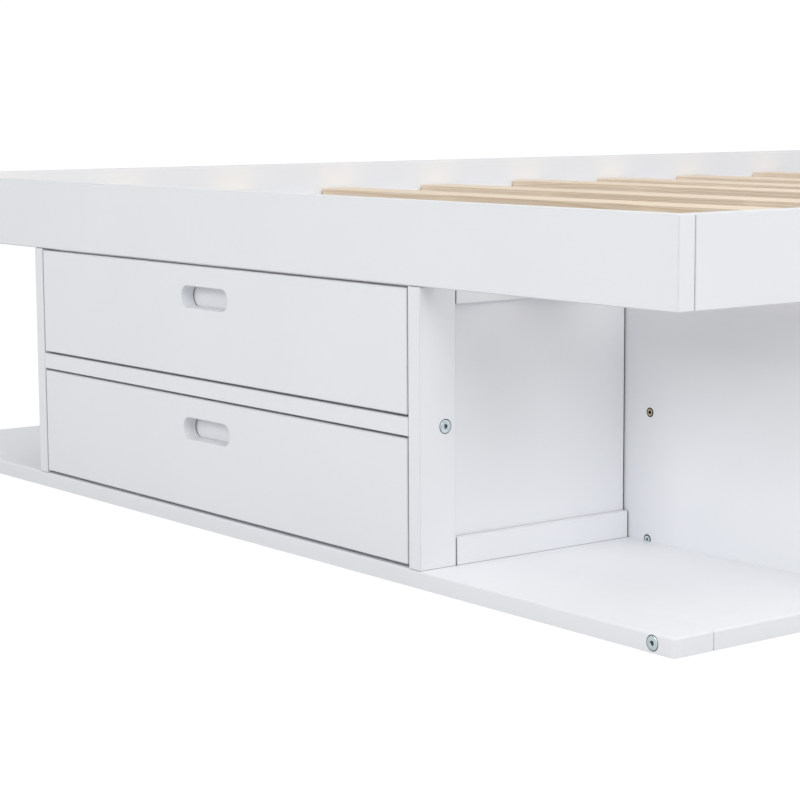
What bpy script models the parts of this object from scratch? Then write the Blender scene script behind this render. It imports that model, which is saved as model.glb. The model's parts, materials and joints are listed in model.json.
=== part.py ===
"""Queen platform bed with two foot drawers and open corner shelves.

Frame: metres, +Z up, origin at the middle of the bed's footprint on the floor.
X runs across the bed, +X is the right side seen from the foot.
The foot end, with the drawers, is the -Y face.

A low box stands on a thin base. A rail frame holds ten slats and the mattress.
Two posts and a divider frame the drawers, which slide out on steel slides.
Each corner beside the drawers is an open shelf, closed behind by the back board.
"""

import math

import bmesh
import bpy

# --- Driving dimensions -----------------------------------------------------------
WIDTH = 1.580            # outside, side rail to side rail
LENGTH = 2.095           # outside, foot rail to head rail
HEIGHT = 0.405           # floor to the top of the rails

RAIL_HEIGHT = 0.088
RAIL_THICK = 0.021
BASE_THICK = 0.019       # strips and decks that lie on the floor
STRIP_WIDTH = 0.050
BOARD_THICK = 0.018      # back board, head panel, inner boards, drawer fronts

SHELF_WIDTH = 0.377      # side face of the bed to the side of a foot post
FOOT_DEPTH = 0.296       # foot face to the front of the back board
POST_WIDTH = 0.020       # across the bed
POST_DEPTH = 0.048       # along the bed
PANEL_THICK = 0.013      # side panels of the drawer bay
PANEL_RECESS = 0.007     # panel face behind the post's face
PANEL_END_GAP = 0.0015   # panel end to the back board
TRIM_HEIGHT = 0.030      # skirt and top strip on the panel
TRIM_GAP = 0.0012
TOP_STRIP_Z = 0.296      # underside of the top strip

DIVIDER_Z = 0.159        # underside of the rail between the drawers
DIVIDER_HEIGHT = 0.020
DIVIDER_DEPTH = 0.068

SLAT_COUNT = 10
SLAT_PITCH = 0.201
SLAT_WIDTH = 0.068
SLAT_THICK = 0.018
SLAT_TOP = 0.364
SLAT_END_GAP = 0.003     # slat end to the side rail
FIRST_SLAT = 0.113       # foot face to the first slat
LEDGE_WIDTH = 0.020
LEDGE_HEIGHT = 0.0295

INNER_BOARD_X = 0.446    # centre of each long inner board

FRONT_GAP = 0.0025       # drawer front to the frame round it
FLOOR_GAP = 0.0035       # lower drawer front to the base
SIDE_GAP = 0.002
DRAWER_WALL = 0.012
DRAWER_HEIGHT = 0.110
DRAWER_BACK = 0.286      # foot face to the back of the drawer box
DRAWER_FLOOR_THICK = 0.006
DRAWER_FLOOR_LIFT = 0.008
GROOVE_DEPTH = 0.005
DRAWER_LIFTS = {"upper": 0.190, "lower": 0.031}    # underside of each drawer box

SLOT_LENGTH = 0.100
SLOT_HEIGHT = 0.025
SLOT_DROP = 0.025        # top of the front to the top of the slot

SLIDE_SPACE = 0.0127     # width that a slide takes beside the drawer box
SLIDE_START = 0.0205     # foot face to the front of the slides
SLIDE_LIFT = 0.0462      # underside of the drawer box to the middle of its slides
CHANNEL_LENGTH = 0.260
CHANNEL_HEIGHT = 0.036
CHANNEL_WALL = 0.0015
CHANNEL_REACH = 0.0100
RUNNER_LENGTH = 0.250
RUNNER_HEIGHT = 0.026
RUNNER_WALL = 0.0014
RUNNER_REACH = 0.0092

BOLT_HEAD_R = 0.0072
BOLT_HEAD_THICK = 0.0025
BOLT_PROUD = 0.0003      # head above the wood
BOLT_CHAMFER_R = 0.0008
BOLT_CHAMFER_DEPTH = 0.0006
BOLT_SHANK_R = 0.003
BOLT_SOCKET_R = 0.0029
BOLT_SOCKET_DEPTH = 0.0018
BASE_BOLT_INSET = 0.0290  # side of the bed to the base bolt
BASE_BOLT_LENGTH = 0.085
POST_BOLT_LENGTH = 0.055
HOLE_CLEARANCE = 0.0005

TOUCH = 0.0003           # gap between pieces that meet
EASE = 0.0012            # bevel on the edges of painted boards
SLAT_EASE = 0.0015
ROUND_SIDES = 24

# --- Worked out from the driving dimensions ---------------------------------------
FOOT_Y = -LENGTH / 2
HEAD_Y = LENGTH / 2
HALF_WIDTH = WIDTH / 2
RAIL_BOTTOM = HEIGHT - RAIL_HEIGHT
RAIL_INNER_X = HALF_WIDTH - RAIL_THICK
POST_OUTER_X = HALF_WIDTH - SHELF_WIDTH
POST_INNER_X = POST_OUTER_X - POST_WIDTH
DIVIDER_TOP = DIVIDER_Z + DIVIDER_HEIGHT
BACK_FRONT_Y = FOOT_Y + FOOT_DEPTH
BACK_REAR_Y = BACK_FRONT_Y + BOARD_THICK
HEAD_PANEL_Y = HEAD_Y - BOARD_THICK
SLAT_UNDER = SLAT_TOP - SLAT_THICK
LEDGE_TOP = SLAT_UNDER - TOUCH
LEDGE_BOTTOM = LEDGE_TOP - LEDGE_HEIGHT
BACK_TOP = LEDGE_BOTTOM - TOUCH
STRIP_INNER_X = HALF_WIDTH - STRIP_WIDTH
DECK_Y = FOOT_Y + STRIP_WIDTH
BOX_HALF_WIDTH = POST_INNER_X - SLIDE_SPACE
DRAWER_FRONTS = {
    "upper": (DIVIDER_TOP + FRONT_GAP, RAIL_BOTTOM - FRONT_GAP),
    "lower": (BASE_THICK + FLOOR_GAP, DIVIDER_Z - FRONT_GAP),
}
SIDES = {"left": -1, "right": 1}


# --- Materials --------------------------------------------------------------------
def principled(name, color, roughness, metallic=0.0):
    """A plain Principled material."""
    material = bpy.data.materials.new(name)
    material.use_nodes = True
    shader = material.node_tree.nodes["Principled BSDF"]
    shader.inputs["Base Color"].default_value = (*color, 1.0)
    shader.inputs["Roughness"].default_value = roughness
    shader.inputs["Metallic"].default_value = metallic
    return material


# --- Shared modelling helpers -----------------------------------------------------
def add_object(name, mesh, material, parent=None, place=(0.0, 0.0, 0.0)):
    """Link a mesh as a named object; place is its world position."""
    obj = bpy.data.objects.new(name, mesh)
    bpy.context.scene.collection.objects.link(obj)
    if material is not None:
        mesh.materials.append(material)
    if parent is not None:
        obj.parent = parent
        place = [p - q for p, q in zip(place, parent.location)]
    obj.location = place
    return obj


def board(name, low, high, material, ease=EASE, parent=None):
    """A board from its low to its high corner, with eased edges."""
    size = [h - l for l, h in zip(low, high)]
    centre = [(h + l) / 2 for l, h in zip(low, high)]
    shape = bmesh.new()
    bmesh.ops.create_cube(shape, size=1.0)
    bmesh.ops.scale(shape, vec=size, verts=shape.verts)
    if ease:
        bmesh.ops.bevel(shape, geom=shape.edges[:], offset=ease, segments=1, affect="EDGES")
    mesh = bpy.data.meshes.new(name)
    shape.to_mesh(mesh)
    shape.free()
    return add_object(name, mesh, material, parent, centre)


def prism(name, outline, start, stop, material, parent=None):
    """Extrude a closed outline of (x, z) pairs along Y, from start to stop."""
    shape = bmesh.new()
    ring = [shape.verts.new((x, start, z)) for x, z in outline]
    face = shape.faces.new(ring)
    grown = bmesh.ops.extrude_face_region(shape, geom=[face])
    moved = [v for v in grown["geom"] if isinstance(v, bmesh.types.BMVert)]
    bmesh.ops.translate(shape, verts=moved, vec=(0.0, stop - start, 0.0))
    bmesh.ops.recalc_face_normals(shape, faces=shape.faces[:])
    mesh = bpy.data.meshes.new(name)
    shape.to_mesh(mesh)
    shape.free()
    return add_object(name, mesh, material, parent)


def turned_along(name, profile, origin, axis, material, sides=ROUND_SIDES):
    """A round piece: profile points are (distance along axis, radius), ends closed."""
    angles = [2 * math.pi * k / sides for k in range(sides)]
    shape = bmesh.new()
    rings = []
    for along, radius in profile:
        ring = []
        for angle in angles:
            u, v = radius * math.cos(angle), radius * math.sin(angle)
            spot = (along, u, v) if axis == "X" else (u, along, v)
            ring.append(shape.verts.new([o + s for o, s in zip(origin, spot)]))
        rings.append(ring)
    for near, far in zip(rings, rings[1:]):
        for k in range(sides):
            nxt = (k + 1) % sides
            shape.faces.new((near[k], near[nxt], far[nxt], far[k]))
    shape.faces.new(rings[0])
    shape.faces.new(rings[-1])
    bmesh.ops.recalc_face_normals(shape, faces=shape.faces[:])
    mesh = bpy.data.meshes.new(name)
    shape.to_mesh(mesh)
    shape.free()
    mesh.shade_smooth()
    mesh.set_sharp_from_angle(angle=math.radians(40))
    return add_object(name, mesh, material)


def cut(target, cutter):
    """Cut a hidden cutter out of the target."""
    cutter.hide_render = True
    cutter.display_type = "WIRE"
    modifier = target.modifiers.new("cut_" + cutter.name, "BOOLEAN")
    modifier.operation = "DIFFERENCE"
    modifier.solver = "EXACT"
    modifier.object = cutter


def mirror_span(side, inner, outer):
    """X limits of a piece between two distances from the middle, on one side."""
    return (inner, outer) if side > 0 else (-outer, -inner)


# --- The mattress frame -----------------------------------------------------------
def make_rails(paint):
    """Foot and head rails run the full width; the side rails fit between them."""
    for name, near in (("foot_rail", FOOT_Y), ("head_rail", HEAD_Y - RAIL_THICK)):
        board(name, (-HALF_WIDTH, near, RAIL_BOTTOM), (HALF_WIDTH, near + RAIL_THICK, HEIGHT), paint)
    for side, sign in SIDES.items():
        x0, x1 = mirror_span(sign, RAIL_INNER_X, HALF_WIDTH)
        board("side_rail_" + side,
              (x0, FOOT_Y + RAIL_THICK + TOUCH, RAIL_BOTTOM),
              (x1, HEAD_Y - RAIL_THICK - TOUCH, HEIGHT), paint)


def make_ledges(paint):
    """Battens inside the side rails that carry the slat ends."""
    for side, sign in SIDES.items():
        x0, x1 = mirror_span(sign, RAIL_INNER_X - TOUCH - LEDGE_WIDTH, RAIL_INNER_X - TOUCH)
        board("slat_ledge_" + side,
              (x0, FOOT_Y + RAIL_THICK + TOUCH, LEDGE_BOTTOM),
              (x1, HEAD_Y - RAIL_THICK - TOUCH, LEDGE_TOP), paint)


def make_slats(wood):
    """Ten equal slats at an even pitch from the foot."""
    reach = RAIL_INNER_X - SLAT_END_GAP
    for k in range(SLAT_COUNT):
        near = FOOT_Y + FIRST_SLAT + k * SLAT_PITCH
        board("slat_%02d" % (k + 1), (-reach, near, SLAT_UNDER),
              (reach, near + SLAT_WIDTH, SLAT_TOP), wood, SLAT_EASE)


# --- The base on the floor --------------------------------------------------------
def base_bolt_places():
    """Axis of the bolt through each end of the front strip, as (x, z)."""
    return {side: (sign * (HALF_WIDTH - BASE_BOLT_INSET), BASE_THICK / 2)
            for side, sign in SIDES.items()}


def bolt_hole(name, origin, axis, toward, length, head_clearance):
    """A cutter for a bolt: counterbore for the head, then the shank's hole."""
    sink = toward * (BOLT_HEAD_THICK - BOLT_PROUD + TOUCH)
    end = toward * (length + TOUCH)
    outside = -toward * BASE_THICK
    profile = [(outside, BOLT_HEAD_R + head_clearance), (sink, BOLT_HEAD_R + head_clearance),
               (sink, BOLT_SHANK_R + HOLE_CLEARANCE), (end, BOLT_SHANK_R + HOLE_CLEARANCE)]
    return turned_along(name, profile, origin, axis, None)


def make_base(paint):
    """Front strip, side strips and decks, all lying on the floor."""
    front = board("base_front_strip", (-HALF_WIDTH, FOOT_Y, 0.0),
                  (HALF_WIDTH, DECK_Y, BASE_THICK), paint)
    for side, sign in SIDES.items():
        x0, x1 = mirror_span(sign, STRIP_INNER_X, HALF_WIDTH)
        strip = board("base_side_strip_" + side, (x0, DECK_Y + TOUCH, 0.0),
                      (x1, HEAD_PANEL_Y - TOUCH, BASE_THICK), paint)
        x, z = base_bolt_places()[side]
        hole = bolt_hole("base_bolt_hole_" + side, (x, FOOT_Y, z), "Y", 1,
                         BASE_BOLT_LENGTH, HOLE_CLEARANCE)
        cut(front, hole)
        cut(strip, hole)
        x0, x1 = mirror_span(sign, INNER_BOARD_X + BOARD_THICK / 2 + TOUCH, STRIP_INNER_X - TOUCH)
        board("side_deck_" + side, (x0, BACK_REAR_Y + TOUCH, 0.0),
              (x1, HEAD_PANEL_Y - TOUCH, BASE_THICK), paint)
    board("foot_deck", (-STRIP_INNER_X + TOUCH, DECK_Y + TOUCH, 0.0),
          (STRIP_INNER_X - TOUCH, BACK_FRONT_Y - TOUCH, BASE_THICK), paint)


# --- The upright boards -----------------------------------------------------------
def make_back_board(paint):
    """Closes the foot cabinet; notched at both ends over the side strips."""
    edge = RAIL_INNER_X - TOUCH
    notch_x = STRIP_INNER_X - TOUCH
    notch_z = BASE_THICK + TOUCH
    outline = [(-notch_x, 0.0), (notch_x, 0.0), (notch_x, notch_z), (edge, notch_z),
               (edge, BACK_TOP), (-edge, BACK_TOP), (-edge, notch_z), (-notch_x, notch_z)]
    prism("back_board", outline, BACK_FRONT_Y, BACK_REAR_Y, paint)


def make_inner_boards(paint):
    """Three long boards on edge carry the slats; the head panel closes the far end."""
    places = {"inner_board_left": -INNER_BOARD_X, "centre_board": 0.0,
              "inner_board_right": INNER_BOARD_X}
    for name, x in places.items():
        board(name, (x - BOARD_THICK / 2, BACK_REAR_Y + TOUCH, 0.0),
              (x + BOARD_THICK / 2, HEAD_Y - RAIL_THICK - TOUCH, SLAT_UNDER - TOUCH), paint)
    board("head_panel", (-HALF_WIDTH, HEAD_PANEL_Y, 0.0),
          (HALF_WIDTH, HEAD_Y, RAIL_BOTTOM - TOUCH), paint)


# --- The drawer bay ---------------------------------------------------------------
def make_bay(paint):
    """Posts, side panels with their skirt and top strip, and the divider."""
    divider = board("drawer_divider", (-POST_INNER_X + TOUCH, FOOT_Y, DIVIDER_Z),
                    (POST_INNER_X - TOUCH, FOOT_Y + DIVIDER_DEPTH, DIVIDER_TOP), paint)
    for side, sign in SIDES.items():
        x0, x1 = mirror_span(sign, POST_INNER_X, POST_OUTER_X)
        post = board("foot_post_" + side, (x0, FOOT_Y, BASE_THICK + TOUCH),
                     (x1, FOOT_Y + POST_DEPTH, RAIL_BOTTOM - TOUCH), paint)
        hole = bolt_hole("post_bolt_hole_" + side, post_bolt_origin(sign), "X", -sign,
                         POST_BOLT_LENGTH, HOLE_CLEARANCE)
        cut(post, hole)
        cut(divider, hole)
        panel_face = POST_OUTER_X - PANEL_RECESS
        x0, x1 = mirror_span(sign, panel_face - PANEL_THICK, panel_face)
        board("bay_panel_" + side, (x0, FOOT_Y + POST_DEPTH + TOUCH, BASE_THICK + TOUCH),
              (x1, BACK_FRONT_Y - PANEL_END_GAP, SLAT_UNDER - TOUCH), paint)
        x0, x1 = mirror_span(sign, panel_face + TOUCH, POST_OUTER_X)
        for name, z in (("bay_skirt_", BASE_THICK + TOUCH), ("bay_top_strip_", TOP_STRIP_Z)):
            board(name + side, (x0, FOOT_Y + POST_DEPTH + TRIM_GAP, z),
                  (x1, BACK_FRONT_Y - TRIM_GAP, z + TRIM_HEIGHT), paint)


def post_bolt_origin(sign):
    """Where a post bolt's axis meets the shelf side of its post."""
    return (sign * POST_OUTER_X, FOOT_Y + DIVIDER_DEPTH / 2, DIVIDER_Z + DIVIDER_HEIGHT / 2)


# --- The drawers ------------------------------------------------------------------
def slot_cutter(name, z):
    """A stadium-shaped cutter through a drawer front."""
    radius = SLOT_HEIGHT / 2
    half = SLOT_LENGTH / 2 - radius
    steps = ROUND_SIDES // 2
    outline = []
    for centre, turn in ((half, -math.pi / 2), (-half, math.pi / 2)):
        for k in range(steps + 1):
            angle = turn + math.pi * k / steps
            outline.append((centre + radius * math.cos(angle), z + radius * math.sin(angle)))
    return prism(name, outline, FOOT_Y - BOARD_THICK, FOOT_Y + 2 * BOARD_THICK, None)


def make_front(level, paint, axis):
    """The drawer front with its finger slot."""
    bottom, top = DRAWER_FRONTS[level]
    reach = POST_INNER_X - SIDE_GAP
    front = board("drawer_%s_front" % level, (-reach, FOOT_Y, bottom),
                  (reach, FOOT_Y + BOARD_THICK, top), paint, parent=axis)
    slot_z = top - SLOT_DROP - SLOT_HEIGHT / 2
    cut(front, slot_cutter("drawer_%s_slot" % level, slot_z))


def make_box(level, paint, axis):
    """The drawer box: grooved sides, inner front, back and a thin floor."""
    bottom = DRAWER_LIFTS[level]
    top = bottom + DRAWER_HEIGHT
    start = FOOT_Y + BOARD_THICK + TOUCH
    stop = FOOT_Y + DRAWER_BACK
    groove = bottom + DRAWER_FLOOR_LIFT
    groove_top = groove + DRAWER_FLOOR_THICK + 2 * TOUCH
    inner = BOX_HALF_WIDTH - DRAWER_WALL
    for side, sign in SIDES.items():
        profile = [(inner, bottom), (BOX_HALF_WIDTH, bottom), (BOX_HALF_WIDTH, top), (inner, top),
                   (inner, groove_top), (inner + GROOVE_DEPTH, groove_top),
                   (inner + GROOVE_DEPTH, groove), (inner, groove)]
        outline = [(sign * x, z) for x, z in profile]
        prism("drawer_%s_side_%s" % (level, side), outline, start, stop, paint, axis)
    reach = inner + GROOVE_DEPTH - TOUCH
    board("drawer_%s_floor" % level, (-reach, start + TOUCH, groove + TOUCH),
          (reach, stop - TOUCH, groove_top - TOUCH), paint, 0.0, axis)
    wall_foot = groove_top
    for name, near in (("inner_front", start), ("back", stop - DRAWER_WALL)):
        board("drawer_%s_%s" % (level, name), (-inner + TOUCH, near, wall_foot),
              (inner - TOUCH, near + DRAWER_WALL, top), paint, 0.0, axis)


def make_slides(level, steel, axis):
    """Two slides: a C channel on the bay and a runner on the drawer inside it."""
    z = DRAWER_LIFTS[level] + SLIDE_LIFT
    start = FOOT_Y + SLIDE_START
    for side, sign in SIDES.items():
        web = POST_INNER_X - TOUCH
        half = CHANNEL_HEIGHT / 2
        channel = [(web, -half), (web, half), (web - CHANNEL_REACH, half),
                   (web - CHANNEL_REACH, half - CHANNEL_WALL), (web - CHANNEL_WALL, half - CHANNEL_WALL),
                   (web - CHANNEL_WALL, CHANNEL_WALL - half), (web - CHANNEL_REACH, CHANNEL_WALL - half),
                   (web - CHANNEL_REACH, -half)]
        prism("slide_channel_%s_%s" % (level, side), [(sign * x, z + b) for x, b in channel],
              start, start + CHANNEL_LENGTH, steel)
        web = BOX_HALF_WIDTH + TOUCH
        half = RUNNER_HEIGHT / 2
        runner = [(web, -half), (web + RUNNER_REACH, -half), (web + RUNNER_REACH, RUNNER_WALL - half),
                  (web + RUNNER_WALL, RUNNER_WALL - half), (web + RUNNER_WALL, half - RUNNER_WALL),
                  (web + RUNNER_REACH, half - RUNNER_WALL), (web + RUNNER_REACH, half), (web, half)]
        prism("slide_runner_%s_%s" % (level, side), [(sign * x, z + b) for x, b in runner],
              start, start + RUNNER_LENGTH, steel, axis)


def make_drawer(level, paint, steel):
    """One drawer on its own axis empty, which slides along -Y."""
    axis = bpy.data.objects.new("drawer_%s_axis" % level, None)
    bpy.context.scene.collection.objects.link(axis)
    axis.location = (0.0, FOOT_Y, DRAWER_LIFTS[level] + DRAWER_HEIGHT / 2)
    make_front(level, paint, axis)
    make_box(level, paint, axis)
    make_slides(level, steel, axis)


# --- The bolts --------------------------------------------------------------------
def make_bolt(name, origin, axis, toward, length, steel):
    """A flat-headed connector bolt with a six-sided socket in its head."""
    head_top = -toward * BOLT_PROUD
    head_under = toward * (BOLT_HEAD_THICK - BOLT_PROUD)
    rim = BOLT_HEAD_R - BOLT_CHAMFER_R
    profile = [(head_top, rim), (head_top + toward * BOLT_CHAMFER_DEPTH, BOLT_HEAD_R),
               (head_under, BOLT_HEAD_R), (head_under, BOLT_SHANK_R),
               (toward * length, BOLT_SHANK_R)]
    bolt = turned_along(name, profile, origin, axis, steel)
    socket_profile = [(-toward * BOLT_HEAD_THICK, BOLT_SOCKET_R),
                      (head_top + toward * BOLT_SOCKET_DEPTH, BOLT_SOCKET_R)]
    cut(bolt, turned_along(name + "_socket", socket_profile, origin, axis, None, sides=6))


def make_bolts(steel):
    """Base bolts hold the side strips; post bolts hold the divider."""
    for side, sign in SIDES.items():
        x, z = base_bolt_places()[side]
        make_bolt("base_bolt_" + side, (x, FOOT_Y, z), "Y", 1, BASE_BOLT_LENGTH, steel)
        make_bolt("post_bolt_" + side, post_bolt_origin(sign), "X", -sign, POST_BOLT_LENGTH, steel)


def main():
    for old in list(bpy.data.objects):
        bpy.data.objects.remove(old, do_unlink=True)
    paint = principled("white_paint", (0.82, 0.83, 0.85), 0.45)
    wood = principled("slat_wood", (0.72, 0.55, 0.36), 0.6)
    steel = principled("zinc_steel", (0.66, 0.68, 0.70), 0.3, 1.0)
    make_rails(paint)
    make_ledges(paint)
    make_slats(wood)
    make_base(paint)
    make_back_board(paint)
    make_inner_boards(paint)
    make_bay(paint)
    for level in DRAWER_LIFTS:
        make_drawer(level, paint, steel)
    make_bolts(steel)


main()
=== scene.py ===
# %% [markdown]
# # A platform bed with two foot drawers
#
# The bed is painted wood: flat boards with softly rounded edges, a few bolts, and bare pine slats.
# The engineering model of it is already packed. This lesson loads that model as a fixed frame and
# gives every part its finished surface: rounded boards, turned bolts, pine with real growth rings.
# Each new piece takes its place from the frame, so nothing is fitted by eye.

import json
import math

import bmesh
import bpy
import numpy as np
from mathutils import Matrix, Vector


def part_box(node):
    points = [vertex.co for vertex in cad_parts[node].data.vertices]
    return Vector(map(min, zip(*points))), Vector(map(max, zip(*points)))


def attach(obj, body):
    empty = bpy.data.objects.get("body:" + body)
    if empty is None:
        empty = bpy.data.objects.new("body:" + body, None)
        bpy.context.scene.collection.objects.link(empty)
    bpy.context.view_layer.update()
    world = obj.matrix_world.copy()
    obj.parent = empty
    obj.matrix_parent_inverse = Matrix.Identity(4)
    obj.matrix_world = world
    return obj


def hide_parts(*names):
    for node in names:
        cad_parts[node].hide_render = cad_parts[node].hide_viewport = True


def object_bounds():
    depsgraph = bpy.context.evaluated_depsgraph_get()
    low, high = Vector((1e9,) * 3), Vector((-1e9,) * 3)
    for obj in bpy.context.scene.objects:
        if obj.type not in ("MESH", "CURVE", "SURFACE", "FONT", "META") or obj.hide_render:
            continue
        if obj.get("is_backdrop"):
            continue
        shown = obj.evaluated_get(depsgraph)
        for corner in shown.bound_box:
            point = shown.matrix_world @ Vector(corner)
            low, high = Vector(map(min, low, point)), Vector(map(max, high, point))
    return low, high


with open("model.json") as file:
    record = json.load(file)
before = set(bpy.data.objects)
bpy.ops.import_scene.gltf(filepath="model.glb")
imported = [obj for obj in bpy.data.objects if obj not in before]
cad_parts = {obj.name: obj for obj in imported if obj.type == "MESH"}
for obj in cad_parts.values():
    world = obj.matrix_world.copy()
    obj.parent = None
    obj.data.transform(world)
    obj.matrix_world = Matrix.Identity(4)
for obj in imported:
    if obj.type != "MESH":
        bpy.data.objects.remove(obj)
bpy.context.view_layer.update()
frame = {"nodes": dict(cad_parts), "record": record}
bodies = frame["record"]["behaviour"]["bodies"]
body_of_node = {node: body for body, members in bodies.items() for node in members}

# %% [markdown]
# ## Camera
#
# A long lens near drawer height, turned towards the corner where the foot meets the right side.
# A camera can be aimed with a Track To constraint, but here its three axes are worked out from a
# heading, a downward tilt and a small roll, because then each angle can be read and changed alone.

# %% Place the camera
LENS_MM = 100.77
HEADING_DEG = 52.69      # turned from +Y towards -X
TILT_DEG = 7.67          # below the horizon
ROLL_DEG = -0.32
NEAREST, FARTHEST = 0.05, 60.0
FROM_CORNER = Vector((1.4350, -1.4065, 0.5088))


def camera_axes(heading, tilt, roll):
    """Right, up and forward: forward is (-sin h cos t, cos h cos t, -sin t), then a roll about it."""
    forward = Vector((-math.sin(heading) * math.cos(tilt), math.cos(heading) * math.cos(tilt),
                      -math.sin(tilt)))
    level = forward.cross(Vector((0.0, 0.0, 1.0))).normalized()
    upright = level.cross(forward)
    right = level * math.cos(roll) + upright * math.sin(roll)
    up = upright * math.cos(roll) - level * math.sin(roll)
    return right, up, forward


near_corner = Vector((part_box("foot_rail")[1].x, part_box("foot_rail")[0].y, 0.0))
right, up, forward = camera_axes(*(math.radians(a) for a in (HEADING_DEG, TILT_DEG, ROLL_DEG)))
camera = bpy.data.objects.new("studio_camera", bpy.data.cameras.new("studio_camera"))
bpy.context.scene.collection.objects.link(camera)
camera.data.lens = LENS_MM
camera.data.clip_start, camera.data.clip_end = NEAREST, FARTHEST
camera.matrix_world = Matrix((right, up, -forward)).transposed().to_4x4()
camera.location = near_corner + FROM_CORNER
bpy.context.scene.camera = camera
print("camera at", [round(x, 3) for x in camera.location])

# %% [markdown]
# ## Studio
#
# White furniture is shown against pure white, but it needs soft shadows to have a shape at all. A
# dome of even light fills everything. A big panel overhead lights the tops and falls between the
# slats, and two softboxes at the foot and at the right side throw light into the shelves, below
# the soft shadow of the rail. A weak lamp above the slats lifts the inside of the far rail. The
# backdrop and the floor look full white, so that the outline of the bed stays clean, but only a
# mid-grey part of that comes back on to the bed.

# %% Light and floor
FLOOR_SIZE = 60.0
FLOOR_GAP = 0.0004
SHOWN_WHITE = 1.03
DOME = 0.715
FLOOR_GREY = 0.60
# each lamp: where it stands, where it shines, the side of its square in metres, and its watts
LAMPS = {"overhead_panel": ((1.1, 0.0, 2.8), (-0.1, -0.3, 0.3), 2.0, 27.5),
         "side_softbox": ((4.1, -1.75, 1.85), (0.5, -0.9, 0.2), 1.4, 41.2),
         "front_softbox": ((0.2, -4.5, 1.95), (0.2, -0.9, 0.2), 1.6, 42.2),
         "inner_fill": ((0.35, 0.3, 1.7), (-0.79, 0.3, 0.36), 1.0, 4.0)}


def new_material(name):
    material = bpy.data.materials.new(name)
    material.use_nodes = True
    return material


def soft_panel(name, place, aim, size, watts):
    """A square area light at place, turned to shine at aim."""
    data = bpy.data.lights.new(name, "AREA")
    data.energy, data.shape, data.size = watts, "SQUARE", size
    lamp = bpy.data.objects.new(name, data)
    bpy.context.scene.collection.objects.link(lamp)
    lamp.rotation_euler = (Vector(aim) - Vector(place)).to_track_quat("-Z", "Y").to_euler()
    lamp.location = place


def floor_material():
    """Shown as plain white, but it lights the bed as a grey floor would."""
    material = new_material("studio_floor")
    nodes, links = material.node_tree.nodes, material.node_tree.links
    nodes.clear()
    output = nodes.new("ShaderNodeOutputMaterial")
    mix = nodes.new("ShaderNodeMixShader")
    seen = nodes.new("ShaderNodeLightPath")
    chalk = nodes.new("ShaderNodeBsdfDiffuse")
    white = nodes.new("ShaderNodeEmission")
    white.inputs["Strength"].default_value = SHOWN_WHITE
    chalk.inputs["Color"].default_value = (FLOOR_GREY, FLOOR_GREY, FLOOR_GREY, 1.0)
    links.new(seen.outputs["Is Camera Ray"], mix.inputs[0])
    links.new(chalk.outputs[0], mix.inputs[1])
    links.new(white.outputs[0], mix.inputs[2])
    links.new(mix.outputs[0], output.inputs["Surface"])
    return material


def tent():
    """A white world: the backdrop is full white, the light that it gives is softer."""
    world = bpy.data.worlds.new("white_tent")
    world.use_nodes = True
    nodes, links = world.node_tree.nodes, world.node_tree.links
    seen = nodes.new("ShaderNodeLightPath")
    strength = nodes.new("ShaderNodeMapRange")
    strength.inputs["To Min"].default_value = DOME
    strength.inputs["To Max"].default_value = SHOWN_WHITE
    links.new(seen.outputs["Is Camera Ray"], strength.inputs["Value"])
    links.new(strength.outputs["Result"], nodes["Background"].inputs["Strength"])
    nodes["Background"].inputs["Color"].default_value = (1.0, 1.0, 1.0, 1.0)
    return world


bpy.context.scene.world = tent()
bpy.context.scene.view_settings.view_transform = "Standard"
for name, lamp in LAMPS.items():
    soft_panel(name, *lamp)
half = FLOOR_SIZE / 2
floor_mesh = bpy.data.meshes.new("studio_floor")
floor_mesh.from_pydata([(-half, -half, -FLOOR_GAP), (half, -half, -FLOOR_GAP),
                        (half, half, -FLOOR_GAP), (-half, half, -FLOOR_GAP)], [], [(0, 1, 2, 3)])
floor = bpy.data.objects.new("studio_floor", floor_mesh)
bpy.context.scene.collection.objects.link(floor)
floor_mesh.materials.append(floor_material())
floor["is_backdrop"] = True
print("dome strength", DOME)

# %% [markdown]
# ## A board as a surface
#
# Nearly every part is a board. A cube with a Bevel modifier would do, but a board can also be one
# outline carried along its length: the outline's corners are arcs, and towards each end it shrinks
# along a quarter circle, which rounds the end. That is a function of two numbers, the place round
# the outline and the place along the board, so numpy works it out as whole arrays. The exact
# direction of the surface comes with it, so flat faces shade flat right up to the rounding.

# %% The outline and the carried surface
ARC_STEPS = 4
LEAST_RADIUS = 0.00004
TIGHT = 0.0001           # the radius of an edge that is left almost square
FOUR_EDGES = ((-1, -1), (1, -1), (1, 1), (-1, 1))
ALONG_SHIFT, ACROSS_SHIFT = 40.0, 0.02       # how far apart two boards may come from one tree
SEEDS = {"front_strip": 60, "back_board": 70, "drawer_side": 80, "drawer_front": 90, "slat": 200}
timber_of = {}           # for each board: the axis of its grain, and where its timber starts


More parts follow.
